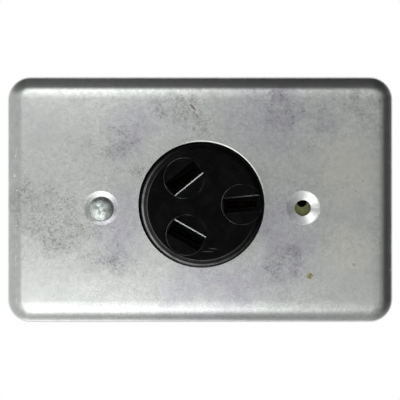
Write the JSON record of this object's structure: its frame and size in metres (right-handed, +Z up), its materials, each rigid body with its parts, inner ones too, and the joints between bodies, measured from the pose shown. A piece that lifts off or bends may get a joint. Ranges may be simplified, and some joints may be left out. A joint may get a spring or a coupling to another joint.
{
  "type": "recessed power socket with cover plate",
  "caption": "Black round three-slot socket behind a zinc-coated steel cover plate, on a strap for a wall box.",
  "frame": {"origin": "on the socket's axis, in the plane of the wall, midway between the box screws", "axes": "+X along the plate to the side of the empty screw hole, +Z up, -Y out into the room"},
  "size_m": [0.1161, 0.032, 0.074],
  "materials": {
    "plate_steel": "zinc-coated sheet, satin, spangled and stained",
    "screw_steel": "zinc plated, dulled",
    "strap_steel": "zinc plated with an olive passivation",
    "phenolic_black": "moulded phenolic, half gloss, rubbed",
    "insert_black": "moulded phenolic, half gloss",
    "contact_brass": "rolled strip, slightly tarnished",
    "spring_steel": "blued spring strip",
    "terminal_brass": "turned, slightly tarnished",
    "fibre_red": "pressed fibre, dull"
  },
  "bodies": {
    "root": {"cover_plate": "plate_steel", "cover_screw_left": "screw_steel", "mounting_strap": "strap_steel", "face_housing": "phenolic_black", "contact_block": "phenolic_black", "rear_cover": "phenolic_black", "slot_insert_upper": "insert_black", "contact_upper": "contact_brass", "contact_spring_upper": "spring_steel", "terminal_screw_upper": "terminal_brass", "slot_insert_lower": "insert_black", "contact_lower": "contact_brass", "contact_spring_lower": "spring_steel", "terminal_screw_lower": "terminal_brass", "slot_insert_right": "insert_black", "contact_right": "contact_brass", "contact_spring_right": "spring_steel", "terminal_screw_right": "terminal_brass", "assembly_screw_left": "screw_steel", "box_screw_left": "screw_steel", "box_washer_left": "fibre_red", "assembly_screw_right": "screw_steel", "box_screw_right": "screw_steel", "box_washer_right": "fibre_red"}
  },
  "joints": []
}
